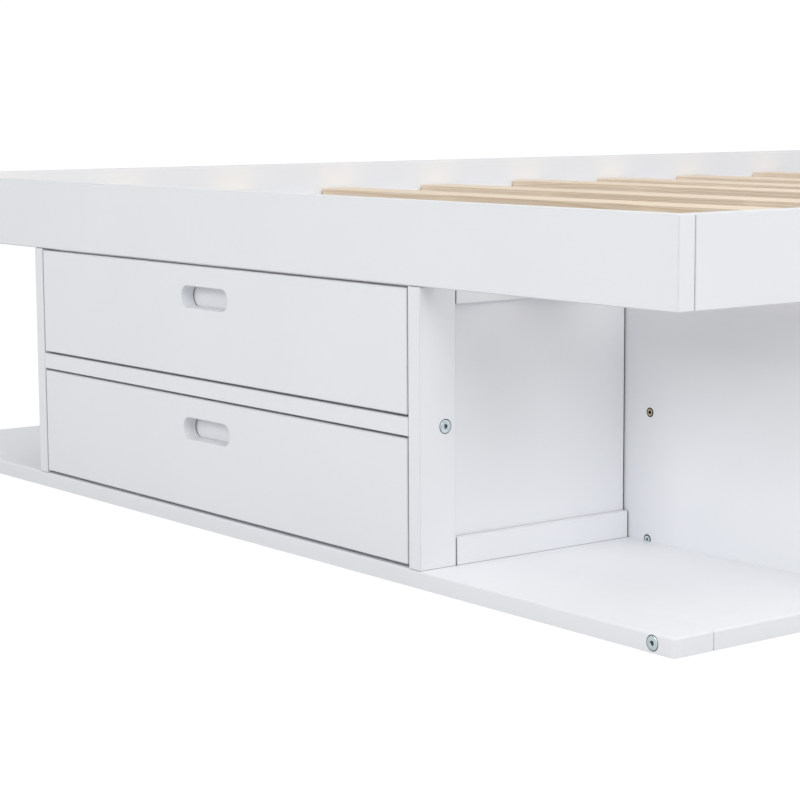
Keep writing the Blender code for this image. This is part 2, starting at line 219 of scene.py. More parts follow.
def rounded_outline(corners, radius):
    """What an outline with rounded corners is made of; radius is one number or one per corner.

    At a corner that turns by t, the normal turns evenly from the first side's to the second's, and
    the mitre is the sum of those two over (1 + their dot product).
    """
    corners = np.asarray(corners, float)
    ahead = np.roll(corners, -1, 0) - corners
    ahead /= np.linalg.norm(ahead, axis=1)[:, None]
    before = np.roll(ahead, 1, 0)
    cross = before[:, 0] * ahead[:, 1] - before[:, 1] * ahead[:, 0]
    turn = np.arctan2(cross, (before * ahead).sum(1))
    first = np.stack([before[:, 1], -before[:, 0]], 1)
    second = np.stack([ahead[:, 1], -ahead[:, 0]], 1)
    mitre = (first + second) / (1 + (first * second).sum(1))[:, None]
    share = np.linspace(0.0, 1.0, ARC_STEPS + 1)
    cos, sin = np.cos(turn[:, None] * share), np.sin(turn[:, None] * share)
    normal = np.stack([first[:, :1] * cos - first[:, 1:] * sin,
                       first[:, :1] * sin + first[:, 1:] * cos], 2)
    return {"corners": corners, "radius": np.broadcast_to(radius, len(corners)), "mitre": mitre,
            "bend": np.sign(turn), "normal": normal,
            "eased": np.tile(np.sin(np.pi * share), len(corners))}


def outline_at(outline, shrink):
    """The outline's points after it has shrunk inwards.

    The arc's radius is radius - bend * shrink, never below LEAST_RADIUS. Its centre is the corner
    - shrink * mitre - bend * radius * mitre, and a point is the centre + bend * radius * normal.
    """
    shrink = np.atleast_1d(shrink)[:, None]
    bend = outline["bend"]
    radius = np.maximum(outline["radius"] - bend * shrink, LEAST_RADIUS)[..., None]
    centre = outline["corners"] - (shrink[..., None] + bend[:, None] * radius) * outline["mitre"]
    points = centre[:, :, None] + (bend[:, None] * radius)[:, :, None] * outline["normal"]
    return points.reshape(len(shrink), -1, 2)


def end_rows(length, eases, middle):
    """Place along, shrink of the outline and tilt of the normal, for each row of the surface.

    middle is the number of rows between the two ends.

    Over an end's quarter circle, at angle p: along = ease (1 - cos p), shrink = ease (1 - sin p).
    """
    p = np.linspace(0.0, np.pi / 2, ARC_STEPS + 1)
    start, stop = eases
    near, far = start * (1 - np.cos(p)), length - stop * (1 - np.cos(p[::-1]))
    inner = np.linspace(start, length - stop, middle + 2)[1:-1]
    flat = np.zeros(len(inner))
    return (np.concatenate([near, inner, far]),
            np.concatenate([start * (1 - np.sin(p)), flat, stop * (1 - np.sin(p[::-1]))]),
            np.concatenate([-np.cos(p), flat, np.cos(p[::-1])]))


def mesh_piece(name, points, faces, normals=None):
    """An object at the origin from whole arrays: points, faces, and a normal for each point."""
    mesh = bpy.data.meshes.new(name)
    mesh.from_pydata(points.reshape(-1, 3), [], faces)
    shell = bmesh.new()
    shell.from_mesh(mesh)
    if shell.calc_volume(signed=True) < 0:
        bmesh.ops.reverse_faces(shell, faces=shell.faces[:])
        shell.to_mesh(mesh)
    shell.free()
    mesh.shade_smooth()
    if normals is not None:
        mesh.normals_split_custom_set_from_vertices(normals.reshape(-1, 3))
    piece = bpy.data.objects.new(name, mesh)
    bpy.context.scene.collection.objects.link(piece)
    return piece


def grid_faces(rows, columns, ring=False):
    """Quads of a grid that closes round its columns, and round its rows too where ring is true."""
    i = np.arange(rows if ring else rows - 1)[:, None]
    j = np.arange(columns)[None, :]
    i2, j2 = (i + 1) % rows, (j + 1) % columns
    quads = np.stack([i * columns + j, i * columns + j2, i2 * columns + j2, i2 * columns + j], 2)
    return quads.reshape(-1, 4).tolist()


def capped_faces(rows, columns):
    """The same quads, with a face across the first row and one across the last."""
    last = (rows - 1) * columns
    return grid_faces(rows, columns) + [list(range(columns))[::-1],
                                        list(range(last, last + columns))]


def note(piece, name, values):
    """Keep a number or a vector for each point of a mesh, for its material to read."""
    values = np.asarray(values, np.float32)
    vector = values.shape[-1] == 3
    attribute = piece.data.attributes.new(name, "FLOAT_VECTOR" if vector else "FLOAT", "POINT")
    attribute.data.foreach_set("vector" if vector else "value", values.ravel())


def timber_shift(seed):
    """Where in its own tree a board was cut, so that no two boards show the same grain."""
    return np.random.default_rng(seed).uniform(-1.0, 1.0, 3) * (ALONG_SHIFT, ACROSS_SHIFT,
                                                               ACROSS_SHIFT)


def carried_board(name, outline, axis, low, length, eases, middle=0, seed=0, bow=0.0, lift=0.0,
                  drift=0.0, grain=None, wear=1.0, dust=0.0):
    """An outline carried along an axis, with both ends eased and closed.

    A point is the shrunk outline's, at its place along. At a share u of the length it is raised by
    bow * sin(pi * u) + lift * (1 - u)^2, and moved on by drift * (1 - u)^2. Each point also keeps
    its place in its own piece of timber, with the grain along the axis unless grain names another,
    how far it lies into a rounded edge, which is wear half-way round an arc and 0 on
    flat faces, and how far it is greyed if it faces up, which is dust on a face that
    points straight up. The paint turns the first into thin paint with painted shade, and on the
    rails the second into painted shade.
    """
    along, shrink, tilt = end_rows(length, eases, middle)
    flat = outline_at(outline, shrink)
    normals2 = outline["normal"].reshape(-1, 2)
    level = np.sqrt(1.0 - tilt ** 2)
    second, third = (axis + 1) % 3, (axis + 2) % 3
    place, normal = np.zeros((2, *flat.shape[:2], 3))
    place[..., axis] = low + along[:, None]
    place[..., second], place[..., third] = flat[..., 0], flat[..., 1]
    grain = axis if grain is None else grain
    timber = np.roll(place, -grain, -1)
    middle_line = timber.mean((0, 1)) * (0.0, 1.0, 1.0)
    timber += timber_shift(seed) - middle_line
    timber_of[name] = grain, timber_shift(seed) - middle_line
    share = along / length
    place[..., 2] += (bow * np.sin(np.pi * share) + lift * (1 - share) ** 2)[:, None]
    place[..., 1] += (drift * (1 - share) ** 2)[:, None]
    normal[..., axis] = tilt[:, None]
    normal[..., second] = level[:, None] * normals2[:, 0]
    normal[..., third] = level[:, None] * normals2[:, 1]
    piece = mesh_piece(name, place, capped_faces(*flat.shape[:2]), normal)
    note(piece, "timber", timber)
    rounding = outline["eased"] * level[:, None] ** 2 + (2 * np.abs(tilt) * level)[:, None]
    note(piece, "edge", wear * np.clip(rounding, 0.0, 1.0)[..., None])
    note(piece, "dust", dust * np.clip(normal[..., 2:], 0.0, 1.0) ** 4)
    return piece


def board_in_box(name, low, high, ease, seed, tight=(), ends=None, **shape):
    """A plain board that fills a box, with its grain along the box's longest side.

    tight names the long edges that meet another board, by the signs of their two directions: those
    stay almost square, so that the joint closes up. ends are the radii at the two ends.
    """
    axis = max(range(3), key=lambda k: high[k] - low[k])
    second, third = (axis + 1) % 3, (axis + 2) % 3
    corners = [((low, high)[a > 0][second], (low, high)[b > 0][third]) for a, b in FOUR_EDGES]
    radius = [TIGHT if edge in tight else ease for edge in FOUR_EDGES]
    return carried_board(name, rounded_outline(corners, radius), axis, low[axis],
                         high[axis] - low[axis], ends or (ease, ease), seed=seed, **shape)


def stands_for(piece, node, material):
    """Give a piece its finish, its body and the part of the frame that it replaces."""
    piece.data.materials.append(material)
    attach(piece, body_of_node[node])
    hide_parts(node)
    return piece


print("points round a plain board:", 4 * (ARC_STEPS + 1))

# %% [markdown]
# ## White paint
#
# Satin paint on planed wood isn't one flat colour. It has a fine orange peel from the spray gun,
# the wood's grain shows through very faintly, its gloss drifts a little, and on the rounded edges
# it is thinner and rubbed smoother. All of that is noise on each board's own timber coordinates,
# so the faint grain runs along every board whichever way the board lies. Three greys are painted
# shade: the rounded edges are darkened beyond what thin paint gives, to tone down their lit arris,
# the rails' upward faces are darkened, and an ambient occlusion node darkens every joint and tight
# corner.

# %% Small helpers for materials
CREVICE_SHADE_RAYS = 8


def shader_of(material):
    return material.node_tree.nodes["Principled BSDF"]


def surface(material, colour, roughness, normal):
    """Join a colour, a roughness and a normal to the material's shader."""
    for name, value in (("Base Color", colour), ("Roughness", roughness), ("Normal", normal)):
        put(material, value, shader_of(material).inputs[name])


def add_node(material, kind, **settings):
    node = material.node_tree.nodes.new(kind)
    for key, value in settings.items():
        setattr(node, key, value)
    return node


def put(material, value, socket):
    """Join a socket to an input, or set the input to a number or a colour."""
    if isinstance(value, bpy.types.NodeSocket):
        material.node_tree.links.new(value, socket)
    elif isinstance(value, tuple) and len(value) == 3 and socket.type == "RGBA":
        socket.default_value = (*value, 1.0)
    else:
        socket.default_value = value


def kept(material, name):
    """A vector or number that each point of the mesh keeps."""
    node = add_node(material, "ShaderNodeAttribute", attribute_name=name)
    return node.outputs["Vector" if name == "timber" else "Fac"]


def vector_maths(material, operation, *values):
    """Add, subtract or multiply vectors, or measure the length of one."""
    node = add_node(material, "ShaderNodeVectorMath", operation=operation)
    for value, socket in zip(values, node.inputs):
        put(material, value, socket)
    return node.outputs["Value" if operation == "LENGTH" else "Vector"]


def stretched(material, vector, scale):
    """A coordinate multiplied by a number along each axis."""
    return vector_maths(material, "MULTIPLY", vector, scale)


def noise(material, vector, scale, detail=2.0, roughness=0.5):
    """Noise with so many features per metre."""
    node = add_node(material, "ShaderNodeTexNoise")
    for name, value in (("Vector", vector), ("Scale", scale), ("Detail", detail),
                        ("Roughness", roughness)):
        put(material, value, node.inputs[name])
    return node.outputs["Fac"]


def ranged(material, value, start, stop, low, high):
    """Map start..stop to low..high, and hold it there beyond."""
    node = add_node(material, "ShaderNodeMapRange")
    for name, number in (("Value", value), ("From Min", start), ("From Max", stop),
                         ("To Min", low), ("To Max", high)):
        put(material, number, node.inputs[name])
    return node.outputs["Result"]


def maths(material, operation, *values):
    node = add_node(material, "ShaderNodeMath", operation=operation)
    for value, socket in zip(values, node.inputs):
        put(material, value, socket)
    return node.outputs[0]


def mixed(material, share, first, second):
    """Blend two colours by a share from 0 to 1."""
    node = add_node(material, "ShaderNodeMix", data_type="RGBA")
    put(material, share, node.inputs[0])
    put(material, first, node.inputs[6])
    put(material, second, node.inputs[7])
    return node.outputs[2]


def crevice_shade(material, reach, open_at, shut_at):
    """Painted shade: 1 in a tight corner between surfaces closer than reach, 0 in the open."""
    node = add_node(material, "ShaderNodeAmbientOcclusion", samples=CREVICE_SHADE_RAYS)
    put(material, reach, node.inputs["Distance"])
    return ranged(material, node.outputs["AO"], shut_at, open_at, 1.0, 0.0)


def bumped(material, height, depth, under=None):
    """A normal raised by height, so many metres deep, on top of another."""
    node = add_node(material, "ShaderNodeBump")
    put(material, height, node.inputs["Height"])
    put(material, depth, node.inputs["Distance"])
    if under is not None:
        put(material, under, node.inputs["Normal"])
    return node.outputs["Normal"]


# %% White satin paint
PAINT = (0.800, 0.812, 0.838)
PAINT_THICK = (0.782, 0.797, 0.826)
# a rounded edge's grey: thin paint, and painted shade that tones down the lit arris
ARRIS_THIN_AND_SHADE = (0.610, 0.626, 0.656)
# painted shade on the rails' upward faces
RAIL_TOP_SHADE = (0.600, 0.604, 0.610)
# painted shade in joints and tight corners
CREVICE_SHADE = (0.150, 0.156, 0.165)
CREVICE_SHADE_REACH = 0.0036               # how far the painted shade of a joint spreads
CREVICE_SHADE_OPEN, CREVICE_SHADE_SHUT = 0.50, 0.15      # the openness at which it starts, and is full
NOISE_BAND = (0.30, 0.70)            # nearly all of a noise's values lie between these
CLOUD_BAND, PATCH_BAND = (0.35, 0.65), (0.35, 0.70)          # narrower: more contrast
GRAIN_BAND, FIBRE_BAND = (0.30, 0.75), (0.35, 0.75)
CLOUDS_PER_METRE, SMUDGES_PER_METRE = 4.5, 38.0
PEEL_PER_METRE, PEEL_DEPTH = 380.0, 0.00003
GRAIN_PER_METRE, GRAIN_DEPTH = 420.0, 0.00005
ALONG_THE_GRAIN = (0.035, 1.0, 1.0)
GRAIN_COVER = 0.22                   # how strongly each of these covers the paint's own colour
ARRIS_THIN_AND_SHADE_COVER = (0.60, 1.0)
RAIL_TOP_SHADE_COVER = (0.36, 0.56)
PAINT_ROUGHNESS = (0.40, 0.52)
ARRIS_POLISH = 0.08                  # a rubbed edge is smoother by this
PAINT_SPECULAR = 0.42


def make_paint():
    material = new_material("white_satin_paint")
    timber, edge = kept(material, "timber"), kept(material, "edge")
    grain = noise(material, stretched(material, timber, ALONG_THE_GRAIN), GRAIN_PER_METRE,
                  detail=3.0)
    cloud = noise(material, timber, CLOUDS_PER_METRE, detail=3.0)
    smudge = noise(material, timber, SMUDGES_PER_METRE, detail=3.0, roughness=0.6)
    peel = noise(material, timber, PEEL_PER_METRE, detail=1.0)
    body = mixed(material, ranged(material, cloud, *CLOUD_BAND, 0.0, 1.0), PAINT, PAINT_THICK)
    faint = ranged(material, grain, *GRAIN_BAND, 0.0, GRAIN_COVER)
    body = mixed(material, faint, body, PAINT_THICK)
    # rounded edges are greyed: thin paint, and painted shade that tones down the lit arris
    thin_and_shaded = maths(material, "MULTIPLY", edge, ranged(material, smudge, *PATCH_BAND, *ARRIS_THIN_AND_SHADE_COVER))
    body = mixed(material, thin_and_shaded, body, ARRIS_THIN_AND_SHADE)
    # painted shade: the rails' upward faces turn greyer, so their tops are less bright
    dust = maths(material, "MULTIPLY", kept(material, "dust"),
                 ranged(material, cloud, *NOISE_BAND, *RAIL_TOP_SHADE_COVER))
    body = mixed(material, dust, body, RAIL_TOP_SHADE)
    # painted shade in every joint and tight corner, from an ambient occlusion node
    joint = crevice_shade(material, CREVICE_SHADE_REACH, CREVICE_SHADE_OPEN, CREVICE_SHADE_SHUT)
    body = mixed(material, joint, body, CREVICE_SHADE)
    rough = ranged(material, smudge, *NOISE_BAND, *PAINT_ROUGHNESS)
    polish = maths(material, "MULTIPLY", edge, ARRIS_POLISH)
    normal = bumped(material, peel, PEEL_DEPTH)
    normal = bumped(material, grain, GRAIN_DEPTH, normal)
    surface(material, body, maths(material, "SUBTRACT", rough, polish), normal)
    shader_of(material).inputs["Specular IOR Level"].default_value = PAINT_SPECULAR
    return material


paint = make_paint()
print("paint nodes:", len(paint.node_tree.nodes))

# %% [markdown]
# ## Painted boards
#
# Rails, ledges, base, decks, uprights and drawer boxes are plain boards. Their sizes are read
# from the frame and only the radius of the rounding is chosen: a sanded 1.5 mm on most of them, a
# fuller one on the base, where feet would find a sharp edge, and a small one inside the drawers.
# The front strip's outer corners are rounder still. An outline can have its own radius at each
# corner, so that strip is an outline seen from above, carried upwards by its thickness.

# %% Painted boards
EASE = 0.0015
EASE_OF = {"base_front_strip": 0.0022, "base_side_strip": 0.0022, "foot_deck": TIGHT,
           "side_deck": TIGHT, "bay_skirt": 0.0012, "bay_top_strip": 0.0012,
           "drawer_divider": 0.0012, "foot_post": 0.0013, "drawer": 0.0009}
FLOOR_EASE = 0.0005      # thin drawer floors
TIGHT_EDGES = {"base_side_strip_left": ((-1, 1), (1, 1), (-1, -1)),
               "base_side_strip_right": ((-1, -1), (1, -1), (-1, 1)),
               "bay_skirt_left": ((-1, -1), (-1, 1)), "bay_skirt_right": ((-1, -1), (-1, 1))}
OPEN_JOINT = (0.0015, 0.0015)
JOINT_GAP = 0.0006       # the side strip stands off the front strip by this
STRIP_WEAR_AND_SHADE = 0.25        # broad roundings get less of the edge's thin paint and painted shade than sharp ones
ENDS_OF = {"base_side_strip_left": OPEN_JOINT, "base_side_strip_right": OPEN_JOINT,
           "foot_post_left": (TIGHT, EASE_OF["foot_post"]),
           "foot_post_right": (TIGHT, EASE_OF["foot_post"])}
NEAR_CORNER = 0.0050     # the front strip's two outer corners, seen from above
FILLED_GAP = Vector((0.0003, 0.0003, 0.0))
OTHER_SHAPES = ("slat_0", "slat_1", "slide_", "base_bolt", "post_bolt", "back_board",
                "base_front_strip", "drawer_upper_front", "drawer_lower_front",
                "drawer_upper_side", "drawer_lower_side")


def ease_of(node):
    """The radius for a node: that of the longest name that it starts with."""
    if node.endswith("_floor"):
        return FLOOR_EASE
    fitting = [key for key in EASE_OF if node.startswith(key)]
    return EASE_OF[max(fitting, key=len)] if fitting else EASE


def painted_board(node, seed):
    """The board for a node.

    A deck closes up to its neighbours, as filled joints do; a side strip's joint stays open.
    """
    low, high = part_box(node)
    if "_deck" in node:
        low, high = low - FILLED_GAP, high + FILLED_GAP
    strip = node.startswith("base_side_strip")
    if strip:
        low.y += JOINT_GAP
    # the rails' upward faces get painted shade
    piece = board_in_box(node + "_board", low, high, ease_of(node), seed,
                         TIGHT_EDGES.get(node, ()), ENDS_OF.get(node),
                         wear=STRIP_WEAR_AND_SHADE if strip else 1.0, dust=1.0 if "rail" in node else 0.0)
    return stands_for(piece, node, paint)


def front_strip():
    """The front strip, carried upwards instead, so that its outer corners can be rounder."""
    low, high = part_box("base_front_strip")
    ease = EASE_OF["base_front_strip"]
    outline = rounded_outline([(low.x, low.y), (high.x, low.y), (high.x, high.y), (low.x, high.y)],
                              [NEAR_CORNER, NEAR_CORNER, TIGHT, TIGHT])
    piece = carried_board("base_front_strip_board", outline, 2, low.z, high.z - low.z,
                          (TIGHT, ease), seed=SEEDS["front_strip"], grain=0, wear=STRIP_WEAR_AND_SHADE)
    place = np.empty(3 * len(piece.data.vertices), np.float32)
    piece.data.vertices.foreach_get("co", place)
    back = place[1::3]
    back[back > high.y - 2 * ease] = high.y      # the deck closes on to it
    piece.data.vertices.foreach_set("co", place)
    return stands_for(piece, "base_front_strip", paint)


plain = [node for node in sorted(frame["nodes"]) if not node.startswith(OTHER_SHAPES)]
boards = {node: painted_board(node, seed) for seed, node in enumerate(plain)}
boards["base_front_strip"] = front_strip()
print("plain painted boards:", len(boards))

# %% [markdown]
# ## Boards with another outline
#
# The back board is notched over the side strips, and each drawer side has a groove for the floor.
# A Boolean could cut both, but the outline already says it, so the same carried surface does it.

# %% Back board and drawer sides
NOTCH_GAP = 0.0003
BACK_EASE, SIDE_EASE, SIDE_END = 0.0008, 0.0006, 0.0005
GROOVE_LIFT, GROOVE_HEIGHT, GROOVE_DEPTH = 0.008, 0.0066, 0.005


def back_board_outline():
    """Eight corners, as (z, x) pairs, anticlockwise when Y points at the reader."""
    low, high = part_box("back_board")
    strip_low, strip_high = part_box("base_side_strip_right")
    foot_x, step = strip_low.x - NOTCH_GAP, strip_high.z + NOTCH_GAP
    return [(low.z, -foot_x), (step, -foot_x), (step, low.x), (high.z, low.x),
            (high.z, high.x), (step, high.x), (step, foot_x), (low.z, foot_x)]


def drawer_side_outline(low, high, side):
    """A board on edge with a groove in its inner face, as (z, x) pairs."""
    inner, outer = (low.x, high.x) if side > 0 else (-high.x, -low.x)
    start = low.z + GROOVE_LIFT
    pairs = [(low.z, inner), (start, inner), (start, inner + GROOVE_DEPTH),
             (start + GROOVE_HEIGHT, inner + GROOVE_DEPTH), (start + GROOVE_HEIGHT, inner),
             (high.z, inner), (high.z, outer), (low.z, outer)]
    return pairs if side > 0 else [(z, -x) for z, x in pairs][::-1]


low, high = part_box("back_board")
outline = rounded_outline(back_board_outline(), BACK_EASE)
boards["back_board"] = stands_for(
    carried_board("back_board_board", outline, 1, low.y, high.y - low.y, (TIGHT, TIGHT),
                  seed=SEEDS["back_board"], grain=0), "back_board", paint)
for k, (level, side) in enumerate((a, b) for a in ("upper", "lower") for b in ("left", "right")):
    node = "drawer_%s_side_%s" % (level, side)
    low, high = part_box(node)
    sign = 1 if side == "right" else -1
    outline = rounded_outline(drawer_side_outline(low, high, sign), SIDE_EASE)
    stands_for(carried_board(node + "_board", outline, 1, low.y, high.y - low.y,
                             (SIDE_END, SIDE_END), seed=SEEDS["drawer_side"] + k),
               node, paint)
print("shaped boards: 5")

# %% [markdown]
# ## Drawer fronts
#
# Each front has a finger slot with round ends and softened rims. It is one closed surface, like a
# ring pulled out to a rectangle: one number goes round the slot and the outline together, the
# other goes through the slot, over the rim, across the face, round the edge and back behind.

# %% A slotted front
SLOT_LENGTH, SLOT_HEIGHT, SLOT_DROP = 0.100, 0.025, 0.025
RIM = 0.0016
FRONT_EASE = 0.0018
FRONT_CORNER = 0.0024
RIM_STEPS = 5
SLOT_END_POINTS = 25


def stadium(angle, half, radius):
    """Point and normal of a slot at a polar angle.

    On the straight side the ray stops at radius / |sin|, on the round end at
    half |cos| + sqrt(radius^2 - half^2 sin^2).
    """
    cos, sin = np.cos(angle), np.sin(angle)
    straight = radius / np.maximum(np.abs(sin), 1e-9)
    round_end = half * np.abs(cos) + np.sqrt(np.maximum(radius ** 2 - (half * sin) ** 2, 0.0))
    on_side = straight * np.abs(cos) <= half
    point = np.where(on_side, straight, round_end)[:, None] * np.stack([cos, sin], 1)
    centre = np.stack([np.sign(cos) * half, 0 * cos], 1)
    end_normal = (point - centre) / radius
    side_normal = np.stack([0 * sin, np.sign(sin)], 1)
    return point, np.where(on_side[:, None], side_normal, end_normal)


def matched(outline, angle):
    """The points of an outline at polar angles, by straight steps between its own points."""
    points, normals = outline_at(outline, 0.0)[0], outline["normal"].reshape(-1, 2)
    eased = outline["eased"]
    own = np.arctan2(points[:, 1], points[:, 0]) % (2 * np.pi)
    order = np.argsort(own)
    own, points, normals, eased = own[order], points[order], normals[order], eased[order]
    last = np.searchsorted(own, angle, side="right") - 1
    a, b = points[last], points[(last + 1) % len(points)]
    ray = np.stack([np.cos(angle), np.sin(angle)], 1)
    side = b - a
    share = (a[:, 0] * ray[:, 1] - a[:, 1] * ray[:, 0]) / (side[:, 1] * ray[:, 0]
                                                         - side[:, 0] * ray[:, 1])
    share = np.clip(share, 0.0, 1.0)[:, None]
    blend = normals[last] * (1 - share) + normals[(last + 1) % len(points)] * share
    blend /= np.linalg.norm(blend, axis=1)[:, None]
    soft = eased[last] * (1 - share[:, 0]) + eased[(last + 1) % len(points)] * share[:, 0]
    return a + side * share, blend, soft


def slotted_front(name, low, high, seed):
    """A point is the slot's or the outline's own point plus offset * normal, at a depth."""
    slot_z = high.z - SLOT_DROP - SLOT_HEIGHT / 2
    corners = [(low.x, low.z - slot_z), (high.x, low.z - slot_z),
               (high.x, high.z - slot_z), (low.x, high.z - slot_z)]
    outline = rounded_outline(corners, FRONT_CORNER)
    half, radius = (SLOT_LENGTH - SLOT_HEIGHT) / 2, SLOT_HEIGHT / 2
    turn = np.linspace(-np.pi / 2, np.pi / 2, SLOT_END_POINTS)
    ends = np.arctan2(radius * np.sin(turn), half + radius * np.cos(turn))
    own = outline_at(outline, 0.0)[0]
    angle = np.concatenate([ends, np.pi - ends, np.arctan2(own[:, 1], own[:, 0])]) % (2 * np.pi)
    angle = np.unique(np.round(angle, 9))
    slot, slot_normal = stadium(angle, half, radius)
    rim, rim_normal, soft = matched(outline, angle)
    p = np.linspace(0.0, np.pi / 2, RIM_STEPS + 1)
    sweep, rest = np.cos(p), np.sin(p)
    depth = high.y - low.y
    # rows: offset from the slot or the outline, depth behind the face, and the normal's two parts
    rows = [(0, RIM * (1 - c), RIM * (1 - s), -c, -s) for c, s in zip(sweep, rest)]
    rows += [(1, -FRONT_EASE * (1 - s), FRONT_EASE * (1 - c), s, -c)
             for c, s in zip(sweep, rest)]
    rows += [(1, -FRONT_EASE * (1 - s), depth - FRONT_EASE * (1 - c), s, c)
             for c, s in zip(sweep[::-1], rest[::-1])]
    rows += [(0, RIM * (1 - c), depth - RIM * (1 - s), -c, s)
             for c, s in zip(sweep[::-1], rest[::-1])]
    which, offset, deep, flat, face = np.array(rows).T
    ring, ring_normal = np.stack([slot, rim]), np.stack([slot_normal, rim_normal])
    which = which.astype(int)
    flat_place = ring[which] + offset[:, None, None] * ring_normal[which]
    place = np.stack([flat_place[..., 0], np.broadcast_to(low.y + deep[:, None],
                                                          flat_place.shape[:2]),
                      flat_place[..., 1] + slot_z], -1)
    normal = np.stack([flat[:, None] * ring_normal[which][..., 0],
                       np.broadcast_to(face[:, None], flat_place.shape[:2]),
                       flat[:, None] * ring_normal[which][..., 1]], -1)
    piece = mesh_piece(name, place, grid_faces(len(rows), len(angle), ring=True), normal)
    note(piece, "timber", place[..., [0, 2, 1]] - (0, slot_z, low.y) + timber_shift(seed))
    rounding = 2 * np.abs(flat * face)[:, None] + (which * flat ** 2)[:, None] * soft[None]
    note(piece, "edge", np.clip(rounding, 0.0, 1.0)[..., None])
    return piece


for k, level in enumerate(("upper", "lower")):
    node = "drawer_%s_front" % level
    low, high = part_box(node)
    front = slotted_front(node + "_slotted", low, high, SEEDS["drawer_front"] + k)
    boards[node] = stands_for(front, node, paint)
    print(node, "faces:", len(boards[node].data.polygons))

# %% [markdown]
# ## Pine slats
#
# The slats are planed softwood. A tree's growth rings are cylinders round its heart, and a board
# is a slice through them, so the figure is the distance from a heart line that wanders a little.
# Pale early wood fades slowly into a thin darker line each year. Knots are where a branch stood:
# the rings swell round them, and the knot itself is brown and hard. Each slat is also a touch
# bowed, because planed softwood never stays quite straight, and a few lie slightly askew.

# %% Pine
EARLY_WOOD = (0.755, 0.630, 0.480)
LATE_WOOD = (0.630, 0.455, 0.315)
SAP_WOOD = (0.810, 0.710, 0.575)
KNOT_WOOD = (0.250, 0.120, 0.050)
RING_WIDTH = 0.0042
KNOT_CELLS = (2.6, 11.0, 11.0)       # cells per metre, along the grain and across it
KNOT_SIZE = (0.0045, 0.0085)
SLAT_TOP_GREY = (0.600, 0.525, 0.430)
HEART = (0.0, 0.021, -0.034)         # from the middle of the board to the tree's heart
WANDER = (1.1, 7.0, 7.0)             # turns of the heart line per metre, along and across
WANDER_REACH = (0.0, 0.030, 0.030)
KNOT_REACH, KNOT_SWELL = 0.030, 0.0075       # how far from a knot the rings swell, and how much
KNOT_STRETCH = (0.6, 1.0, 1.0)
LATE_RISE, LATE_FALL, LATE_CURVE = (0.25, 0.86), (0.88, 1.0), 2.2       # parts of one year
FIBRE, FIBRES_PER_METRE, FIBRE_DEPTH = (0.020, 1.0, 1.0), 900.0, 0.00009
STREAK, STREAKS_PER_METRE = (0.05, 1.0, 1.0), 60.0
RING_DEPTH = 0.00006
LATE_COVER, FIBRE_COVER, KNOT_COVER, EDGE_COVER = 0.72, 0.30, 0.88, 0.35
SLAT_TOP_GREY_COVER = (0.18, 0.34)
PINE_ROUGHNESS, LATE_POLISH = (0.52, 0.68), 0.10
PINE_SPECULAR = 0.35


def from_heart(material, timber, knot):
    """Distance from the heart line, wandering along the grain and swollen round a knot."""
    wander = add_node(material, "ShaderNodeTexNoise")
    put(material, stretched(material, timber, WANDER), wander.inputs["Vector"])
    put(material, 1.0, wander.inputs["Scale"])
    offset = stretched(material, wander.outputs["Color"], WANDER_REACH)
    moved = vector_maths(material, "ADD", timber, offset)
    across = vector_maths(material, "SUBTRACT", stretched(material, moved, (0.0, 1.0, 1.0)), HEART)
    swell = ranged(material, knot, 0.0, KNOT_REACH, KNOT_SWELL, 0.0)
    return maths(material, "ADD", vector_maths(material, "LENGTH", across), swell)


def knot_distance(material, timber):
    """Metres to the nearest knot's middle: one knot to a cell, at a random place in it."""
    cells = add_node(material, "ShaderNodeTexVoronoi", feature="F1")
    put(material, stretched(material, timber, KNOT_CELLS), cells.inputs["Vector"])
    put(material, 1.0, cells.inputs["Scale"])
    middle = stretched(material, cells.outputs["Position"], tuple(1 / c for c in KNOT_CELLS))
    away = vector_maths(material, "SUBTRACT", timber, middle)
    return vector_maths(material, "LENGTH", stretched(material, away, KNOT_STRETCH))


